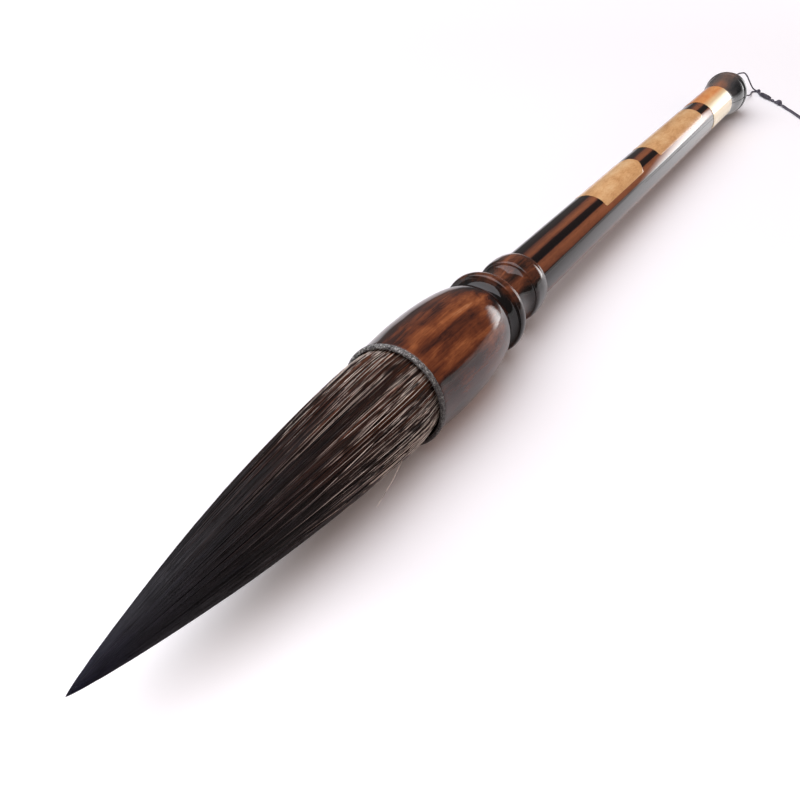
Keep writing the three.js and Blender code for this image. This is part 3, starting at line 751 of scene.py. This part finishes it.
def hair_strands(rng, start_angle, count, pale=False):
    """Places, radii and the strand attribute of hairs in one quarter. Pale hairs lie on top of
    the others and stray more."""
    # the locks that the hairs gather in
    span = math.pi / 2
    locks = LOCKS_PER_QUARTER
    lock_angle = start_angle + (np.arange(locks) + rng.uniform(0.1, 0.9, locks)) * span / locks
    lock_lift = rng.normal(0, 0.22, locks)
    lock_drift = rng.normal(0, 0.03, locks)
    lock_pull = rng.uniform(0.1, 0.6, locks)
    lock_warmth = rng.uniform(0, 1, locks)
    root = start_angle + rng.uniform(0, span, count)
    lock = np.abs(root[:, None] - lock_angle[None]).argmin(1)

    # how deep each hair lies, from 0 at the surface, and how far it reaches
    depth = rng.uniform(0, 0.05, count) if pale else rng.uniform(0.06, 1, count) ** 1.6
    reach = np.where(
        rng.uniform(size=count) < LONG_SHARE,
        rng.uniform(0.965, 1.0, count),
        0.42 + 0.56 * rng.uniform(0, 1, count) ** 0.7,
    )
    if pale:
        reach = rng.uniform(0.25, 0.88, count)
    step = np.linspace(0, 1, HAIR_RINGS)[None]
    along = HAIR_ROOT - (HAIR_ROOT + HAIR_LENGTH * reach[:, None]) * step
    share = np.clip(-along / HAIR_LENGTH, 0, 1)

    # its way round the head
    gather = smoothstep(0.0, 0.22, share) * (1 - smoothstep(0.5, 0.85, share))
    angle = root[:, None] + (lock_angle[lock] - root)[:, None] * lock_pull[lock][:, None] * gather
    angle += lock_drift[lock][:, None] * share
    wave = rng.normal(0, 0.012, (count, 2))
    phase = rng.uniform(0, math.tau, count)[:, None]
    angle += wave[:, :1] * np.sin(5 * share + phase)
    angle += wave[:, 1:] * np.sin(11 * share + phase)
    if pale:
        angle += rng.normal(0, 0.16, count)[:, None] * share

    # its distance from the axis: the ring draws the hair in, most on the camera's side
    drawn = 0.6 * np.sin(angle + math.radians(30)) - 0.05
    radius = hair_radius(along) - drawn * (1 - smoothstep(0.0, 7.0, -along))
    sink = 0.012 + 0.11 * depth[:, None] + 0.03 * smoothstep(0.75, 1.0, step)
    own_lift = rng.normal(0, 0.1, count)
    lift = (lock_lift[lock] + own_lift)[:, None] * smoothstep(0.0, 0.1, share)
    lift *= 1 - smoothstep(0.55, 0.85, share)
    radius = radius * (1 - sink) + lift * (1 - depth[:, None])
    if pale:
        radius += 0.3 * smoothstep(0.0, 0.06, share) * (1 - smoothstep(0.75, 1.0, step))
    radius = np.maximum(radius, 0.02)
    thick = (PALE_HAIR_RADIUS if pale else HAIR_RADIUS) * rng.uniform(0.65, 1.35, count)[:, None]
    thick = thick * (1 - 0.88 * smoothstep(0.55, 1.0, step))
    thick = thick * np.minimum(1, 0.25 + hair_radius(along) / 6)

    # its colour
    if pale:
        tone = rng.uniform(0.4, 1.0, count) ** 0.5
        tone *= 1 - 0.5 * smoothstep(math.radians(-30), math.radians(-60), root)
    else:
        greyed = rng.uniform(size=count) < GREYED_SHARE
        tone = np.where(greyed, rng.uniform(0.03, 0.3, count), 0.0) * (1 - 0.5 * depth)
    lock_share = 0.15 + 1.3 * lock_warmth[lock] ** 1.5
    warmth = np.minimum(1, rng.uniform(0, 1, count) ** 1.8 * lock_share)
    warmth *= 1 - 0.6 * smoothstep(math.radians(30), math.radians(90), root)
    chance = rng.uniform(0, 1, count)
    return along, radius, angle, thick, np.stack([tone, warmth, chance], 1)


def stray_hair():
    """One pale hair that hangs out of the head on the camera's side."""
    along = np.linspace(-15.0, -35.0, HAIR_RINGS)[None]
    radius = np.interp(-along, (15, 17, 20, 24, 28, 35), (12.8, 13.4, 14.2, 15.2, 15.9, 17.4))
    angle = np.radians(np.interp(-along, (15, 28, 35), (112, 111, 104)))
    thick = np.linspace(0.11, 0.06, HAIR_RINGS)[None]
    return along, radius, angle, thick, np.array([[0.9, 0.5, 0.0]])


def hair_piece(name, groups, replaced, material):
    """One mesh of three-sided tapering strands, each with its tone, warmth and chance."""
    all_points, all_quads, values, first = [], [], [], 0
    for along, radius, angle, thick, attribute in groups:
        centres = on_brush(along, radius, angle)
        outward = swung(angle, UP, -SIDE)
        around = np.cross(outward, AXIS)
        radii = np.repeat(thick[..., None], 3, -1) * MM
        points, quads, _ = tube_mesh(centres, outward, around, radii, first)
        first += len(points)
        all_points.append(points)
        all_quads.append(quads)
        values.append(np.repeat(attribute, along.shape[1] * 3, 0))
    points = np.concatenate(all_points)
    piece = mesh_piece(name, points, all_quads, material, replaced)
    made = piece.data.attributes.new("strand", "FLOAT_VECTOR", "POINT")
    made.data.foreach_set("vector", np.concatenate(values).astype(np.float32).ravel())
    return piece


rng = np.random.default_rng(HAIR_SEED)
badger = hair_look()
for index in range(4):
    # quarter 1 of the frame lies under the axis towards the camera's far side
    begin = math.pi - (index + 1) * math.pi / 2
    groups = [
        hair_strands(rng, begin, HAIRS_PER_QUARTER),
        hair_strands(rng, begin, PALE_HAIRS[index], pale=True),
        *([stray_hair()] if index == 0 else []),
    ]
    hair_piece(f"hair_locks_{index + 1}", groups, [f"hair_quarter_{index + 1}"], badger)

CORE_SHARE = 0.885  # core radius as a share of the head's
CORE_TIP, CORE_NOSE = 0.975, 0.965  # where the core and its rounding end, as shares of the length
CORE_ROOT_FROM, CORE_ROOT_TO, CORE_ROOT_RADIUS = 13.0, 17.0, 8.8
core_along = -HAIR_LENGTH * np.linspace(CORE_NOSE, 0, 60)
core_outline = [
    (-HAIR_LENGTH * CORE_TIP, 0.0),
    *((float(a), float(hair_radius(a)) * CORE_SHARE) for a in core_along),
    (CORE_ROOT_FROM, CORE_ROOT_RADIUS),
    (CORE_ROOT_TO, CORE_ROOT_RADIUS),
    (CORE_ROOT_TO, 0.0),
]
inner_hair = under_hair_look()
turned("hair_inner", core_outline, inner_hair, ["hair_core"], sides=120, sharp=60)

# ---- root of the hair, inside the cup ----
BINDING_FROM, BINDING_TO, BINDING_RADIUS, BINDING_THREAD = 10.4, 12.9, 12.45, 0.2
BINDING_TURNS, BINDING_STEPS = 6, 360
binding_ends = (BINDING_FROM + BINDING_THREAD, BINDING_TO - BINDING_THREAD)
binding_turn = np.linspace(0, BINDING_TURNS * math.tau, BINDING_STEPS)
thread_piece(
    "root_thread",
    on_brush(np.linspace(*binding_ends, BINDING_STEPS), BINDING_RADIUS, binding_turn),
    BINDING_THREAD,
    thread_look("binding_thread", srgb(150, 132, 100), srgb(206, 190, 156)),
    ["root_binding"], sides=9,
)
resin = resin_look()
for material_slot in bpy.data.objects["root_plug"].material_slots:
    material_slot.material = resin

# ---- turned pieces ----
RING_REAR_ROUNDING = 0.2
turned(
    "mouth_ring_horn",
    [
        (RING_FRONT, RING_BORE + RING_ROUNDING),
        (RING_FRONT, RING_RADIUS - RING_ROUNDING),
        quarter((RING_FRONT + RING_ROUNDING, RING_RADIUS), 6, False),
        (RING_REAR - RING_REAR_ROUNDING, RING_RADIUS),
        quarter((RING_REAR, RING_RADIUS - RING_REAR_ROUNDING), 4, True),
        (RING_REAR, RING_BORE),
        (RING_FRONT + RING_ROUNDING, RING_BORE),
        quarter((RING_FRONT, RING_BORE + RING_ROUNDING), 5, True),
    ],
    ring_look(),
    ["mouth_ring"], sides=180,
)

turned(
    "ferrule_cup_wood",
    [
        (SOCKET_FLOOR, 0),
        (SOCKET_FLOOR, SOCKET_RADIUS),
        (CUP_FRONT + SOCKET_TAPER, SOCKET_RADIUS),
        (CUP_FRONT, SOCKET_MOUTH),
        (CUP_FRONT, CUP_FRONT_RADIUS - CUP_EDGE),
        quarter((CUP_FRONT + CUP_EDGE, CUP_FRONT_RADIUS), 5, False),
        ogee((CUP_FRONT + CUP_SWELL, CUP_RADIUS), 16),
        (CUP_FRONT + CUP_SWELL + CUP_BARREL, CUP_RADIUS),
        quarter((CUP_REAR, CUP_SHOULDER), 40, True),
        *blind(CUP_REAR, -COLLAR_TENON_LENGTH - SEAM, COLLAR_TENON + SEAM),
    ],
    wood_look(
        "cup", CUP_BANDS, CUP_TONES, CUP_RINGS, wobble=8.0, figure=0.42,
        patches=0.3, grain=0.26, lacquer=0.06, twist=0.28, relief=0.08, gloss=0.42,
    ),
    ["ferrule_cup"], sides=200,
)

SCOOP_LENGTH = 2.7
FRONT_BEAD, FRONT_BEAD_WIDTH, FRONT_BEAD_LIP = 12.9, 2.7, 0.5
WAIST, WAIST_LENGTH, WAIST_SLOPE = 7.8, 2.6, 6.4
REAR_BEAD, REAR_BEAD_RISE, REAR_BEAD_LIP, REAR_BEAD_WIDTH = 10.25, 4.4, 0.6, 3.4
COLLAR_OVER_HANDLE = 0.2
scoop_end = (COLLAR_FRONT + SCOOP_LENGTH, FRONT_BEAD - FRONT_BEAD_LIP)
front_crown = (scoop_end[0] + FRONT_BEAD_WIDTH / 2, FRONT_BEAD)
front_end = (scoop_end[0] + FRONT_BEAD_WIDTH, FRONT_BEAD - FRONT_BEAD_LIP)
waist_start = (front_end[0] + WAIST_SLOPE, WAIST)
waist_end = (waist_start[0] + WAIST_LENGTH, WAIST)
rear_lip = (waist_end[0] + REAR_BEAD_RISE, REAR_BEAD - REAR_BEAD_LIP)
rear_crown = (rear_lip[0] + REAR_BEAD_WIDTH / 2, REAR_BEAD)
turned(
    "collar_wood_spool",
    [
        *blind(COLLAR_FRONT, -COLLAR_TENON_LENGTH, COLLAR_TENON)[::-1],
        (COLLAR_FRONT, CUP_SHOULDER),
        quarter(scoop_end, 14, True),
        quarter(front_crown, 8, False),
        quarter(front_end, 8, True),
        ogee(waist_start, 20),
        waist_end,
        quarter(rear_lip, 14, True),
        quarter(rear_crown, 8, False),
        (rear_lip[0] + REAR_BEAD_WIDTH, REAR_BEAD),
        quarter((COLLAR_REAR, HANDLE_RADII[0] + COLLAR_OVER_HANDLE), 18, True),
        *blind(COLLAR_REAR, -FRONT_TENON_LENGTH - SEAM, FRONT_TENON + SEAM),
    ],
    wood_look(
        "collar", COLLAR_BANDS, COLLAR_TONES, COLLAR_RINGS, wobble=14.0,
        figure=0.42, patches=0.35, grain=0.16,
    ),
    ["collar"], sides=180,
)

turned(
    "handle_wood_shaft",
    [
        *blind(HANDLE_FRONT, -FRONT_TENON_LENGTH, FRONT_TENON)[::-1],
        (HANDLE_FRONT, HANDLE_RADII[0] - HANDLE_EDGE),
        quarter((HANDLE_FRONT + HANDLE_EDGE, HANDLE_RADII[0]), 5, False),
        (HANDLE_REAR - HANDLE_EDGE, HANDLE_RADII[1]),
        quarter((HANDLE_REAR, HANDLE_RADII[1] - HANDLE_EDGE), 5, True),
        *blind(HANDLE_REAR, REAR_TENON_LENGTH, REAR_TENON),
    ],
    wood_look(
        "handle", HANDLE_BANDS, HANDLE_TONES, HANDLE_RINGS, wobble=2.0,
        figure=0.08, patches=0.06, grain=0.1, lacquer=0.04,
    ),
    ["handle_shaft"], sides=160,
)

TENON_HOLE_END = CAP_FRONT + REAR_TENON_LENGTH
HOLE_ROUNDING = 0.25
turned(
    "end_cap_wood",
    [
        (CAP_FRONT, REAR_TENON + SEAM),
        (CAP_FRONT, CAP_NECK),
        ogee((CAP_FRONT + CAP_FLARE, CAP_RIM - CAP_RIM_FALL / 2), 24),
        quarter((CAP_FRONT + CAP_FLARE + CAP_RIM_WIDTH / 2, CAP_RIM), 8, False),
        quarter((CAP_FRONT + CAP_FLARE + CAP_RIM_WIDTH, CAP_RIM - CAP_RIM_FALL), 8, True),
        quarter((CAP_REAR, CAP_FACE), 16, True),
        (CAP_REAR, CORD_HOLE + HOLE_ROUNDING),
        quarter((CAP_REAR - HOLE_ROUNDING, CORD_HOLE), 4, False),
        (CHAMBER_END, CORD_HOLE),
        (CHAMBER_END, KNOT_CHAMBER),
        (TENON_HOLE_END, KNOT_CHAMBER),
        (TENON_HOLE_END, REAR_TENON + SEAM),
        (CAP_FRONT, REAR_TENON + SEAM),
    ],
    wood_look(
        "cap", CAP_BANDS, CAP_TONES, CAP_RINGS, wobble=12.0, figure=0.3,
        patches=0.2, grain=0.14, lacquer=0.12, gloss=0.35,
    ),
    ["end_cap"], sides=160,
)

# ---- bare label plates, curved round the handle under its lacquer ----
LABEL_THICKNESS = 0.12
LABEL_ROUNDING = 0.5  # of a plate's corners
LABEL_EDGE_FALL = 0.06  # how much lower a plate's long edges lie
LABEL_ROWS, LABEL_COLUMNS = 60, 40
TAN = palette((196, 144, 92), (224, 175, 120), (240, 203, 152))
GOLD = palette((220, 132, 76), (234, 158, 94), (246, 192, 124))
# the rear label's painted reflection of the window, towards its right side
GLARE_CREAM = srgb(255, 238, 190)


def handle_radius(along):
    return np.interp(along, [HANDLE_FRONT, HANDLE_REAR], HANDLE_RADII)


def label_plate(name, start, end, left, right, cut, material):
    """A thin plate on the handle between two places along it and two angles in degrees, its far
    corners cut off over the length of cut."""
    along = np.linspace(start, end, LABEL_ROWS)[:, None]
    middle, half = math.radians((left + right) / 2), math.radians((right - left) / 2)
    inset = np.maximum(0.0, along - (end - cut))
    for edge in (start, end):
        near = np.clip(LABEL_ROUNDING - np.abs(along - edge), 0, LABEL_ROUNDING)
        inset = inset + LABEL_ROUNDING - np.sqrt(LABEL_ROUNDING**2 - near**2)
    across = np.linspace(-1, 1, LABEL_COLUMNS)[None]
    angle = middle + (half - inset / handle_radius(along)) * across
    skin = handle_radius(along) + LABEL_THICKNESS
    fall = np.zeros(LABEL_COLUMNS)
    fall[[0, -1]] = LABEL_EDGE_FALL
    top = on_brush(along, skin - fall, angle)
    bottom = on_brush(along, skin - 2 * LABEL_THICKNESS, angle)
    points = np.concatenate([top.reshape(-1, 3), bottom.reshape(-1, 3)])
    grid = np.arange(LABEL_ROWS * LABEL_COLUMNS).reshape(LABEL_ROWS, LABEL_COLUMNS)
    lower = grid + grid.size

    def cells(g):
        return np.stack([g[:-1, :-1], g[1:, :-1], g[1:, 1:], g[:-1, 1:]], -1).reshape(-1, 4)

    def wall(a, b):
        return np.stack([a[:-1], a[1:], b[1:], b[:-1]], -1)

    walls = [wall(grid[0], lower[0])[:, ::-1], wall(grid[-1], lower[-1])]
    walls += [wall(grid[:, 0], lower[:, 0]), wall(grid[:, -1], lower[:, -1])[:, ::-1]]
    faces = [cells(grid)[:, ::-1], cells(lower), *walls]
    return mesh_piece(name, points, faces, material, sharp=40)


tan_paper = label_look("bare_label_tan", TAN)
gold_paper = label_look("bare_label_gold", GOLD, GLARE_CREAM)
label_plate("label_front", 128.2, 168.2, -50, 45, 4.2, tan_paper)
label_plate("label_middle", 183.0, 235.3, -50, 43, 0.0, tan_paper)
label_plate("label_rear", 246.2, 272.1, -70, 112, 0.0, gold_paper)

# ---- floor, lamps and room ----
FLOOR_RADIUS = 1.3
FLOOR_SIDES = 96
ROOM_WARM, ROOM_COOL = (0.29, 0.18, 0.15), (0.17, 0.185, 0.2)  # towards -Y and +Y
GLOSS_TABLE = 0.85  # what gloss sees below the horizon, past the floor's rim
GLOSS_DARK, GLOSS_DIM = 0.06, 0.16  # what gloss sees of the room above the table, -Y and +Y
GLOSS_TILT = 0.12  # how much lower the pale surroundings end towards +Y than in front
WINDOW = (0.992, -0.104, -0.07)  # where the glow of the window is centred
WINDOW_GLOW = 5.8
SIDE_GLOW = 0.8  # of the low, pale surroundings towards -Y


def floor():
    """A white table. Gloss sees painted shade on it towards +Y and behind the brush, and a painted
    glow far off and towards -Y. The camera sees painted light on it in front, which pales the hair
    tip's shadow, and sees it a little lighter far off."""
    turn = whole_turn(FLOOR_SIDES)
    rim = np.stack([FLOOR_RADIUS * np.cos(turn), FLOOR_RADIUS * np.sin(turn), 0 * turn], 1)
    mesh = bpy.data.meshes.new("floor")
    mesh.from_pydata(rim.tolist(), [], [list(range(FLOOR_SIDES))])
    made = placed("floor", mesh)
    look = Look("pale_table", Roughness=0.6, Specular_IOR_Level=0.1, Emission_Color=grey(1.0))
    path = look.node("LightPath")
    seen, mirrored = path["Is Camera Ray"], path["Is Glossy Ray"]
    place = look.node("TexCoord")["Object"]
    onward, left, _ = look.split(place)
    distance = look.node("VectorMath", {0: place}, operation="LENGTH")["Value"]

    # painted shade in what gloss sees of the table, towards +Y and behind the brush
    behind = look.times(look.range(onward, 0.1, 0.35, 0.0, 0.5), look.range(left, 0.0, 0.02))
    darker = look.math("MAXIMUM", look.range(left, 0.16, 0.42, 0.0, 0.75), behind)
    pale = look.mix(seen, grey(0.9), grey(1.0))
    look.set("Base Color", look.mix(look.times(mirrored, darker), pale, grey(0.0)))

    # painted glow in what gloss sees of the table, far off and towards -Y
    far = look.times(look.range(distance, 0.3, 1.1), 0.5)
    ahead = look.math("MAXIMUM", look.math("SUBTRACT", onward, MOUTH[0]), 0.02)
    aside = look.math("DIVIDE", left, look.times(ahead, -1.0))
    glare = look.range(onward, -0.05, 0.25, 0.15, 1.3)
    glare = look.times(glare, look.range(aside, 0.2, 0.6, 1.0, 0.3))
    glare = look.times(look.add(far, glare), look.range(left, -0.03, 0.01, 1.0, 0.0))
    # painted light for the camera in front of the hair's tip, which pales the tip's shadow
    lifted = look.range(onward, -0.18, -0.125, 0.2, 0.04)
    lifted = look.add(lifted, look.range(distance, 0.22, 0.9, 0.0, 0.5))
    glow = look.add(look.times(seen, lifted), look.times(mirrored, glare))
    look.set("Emission Strength", glow)
    mesh.materials.append(look.material)


def lamp(name, place, size, power, colour, glossy=True):
    """A soft rectangular lamp, aimed at the origin. Unless glossy, it shows in no reflection."""
    data = bpy.data.lights.new(name, "AREA")
    data.shape = "RECTANGLE"
    data.size, data.size_y = size
    data.energy, data.color = power, colour
    made = placed(name, data)
    made.location = place
    made.rotation_mode = "QUATERNION"
    made.rotation_quaternion = (-Vector(place)).to_track_quat("-Z", "Y")
    made.visible_glossy = glossy


def room():
    """White for the camera. For gloss it is dark above the table, with a low glow towards -Y and
    a window's glow behind the cap. For dull surfaces it is a dim light, warmer from -Y."""
    world = bpy.data.worlds.new("room")
    bpy.context.scene.world = world
    world.use_nodes = True
    world.node_tree.nodes.clear()
    nodes = Nodes(world.node_tree)
    path = nodes.node("LightPath")
    direction = nodes.node("TexCoord")["Generated"]
    _, across, up = nodes.split(direction)
    tilted = nodes.math("MULTIPLY_ADD", across, GLOSS_TILT, up)
    inputs = {0: direction, 1: WINDOW}
    inward = nodes.node("VectorMath", inputs, operation="DOT_PRODUCT")["Value"]
    slanted = nodes.math("MULTIPLY_ADD", up, -0.5, across)
    window = nodes.range(inward, 0.91, 0.957, 0.0, WINDOW_GLOW)
    window = nodes.times(window, nodes.range(slanted, -0.25, -0.34))
    low_glow = nodes.range(across, 0.0, -0.2, 0.0, SIDE_GLOW)
    low_glow = nodes.times(low_glow, nodes.range(up, 0.0, 0.11, 1.0, 0.0))
    above = nodes.add(nodes.range(across, 0.1, 0.6, GLOSS_DARK, GLOSS_DIM), low_glow)
    mirrored = nodes.add(nodes.range(tilted, -0.015, 0.012, GLOSS_TABLE, above), window)
    tint = nodes.mix(nodes.range(across, -0.7, 0.5), (*ROOM_WARM, 1), (*ROOM_COOL, 1))

    def background(colour):
        return nodes.node("Background", {"Color": colour})[0]

    gloss = {0: path["Is Glossy Ray"], 1: background(tint), 2: background(mirrored)}
    unseen = nodes.node("MixShader", gloss)[0]
    shown = {0: path["Is Camera Ray"], 1: unseen, 2: background(grey(1.0))}
    nodes.node("OutputWorld", {"Surface": nodes.node("MixShader", shown)[0]})


floor()
room()
lamp("key", (-0.35, 0.35, 1.25), size=(2.2, 2.0), power=28.5, colour=(1.0, 0.985, 1.05))
# fills the shadow beside the brush, and isn't mirrored in its lacquer
lamp(
    "side", (-0.05, -1.1, 0.45), size=(1.0, 0.3), power=1.05, colour=(1.0, 0.86, 0.78),
    glossy=False,
)

bpy.context.scene.view_settings.view_transform = "Standard"
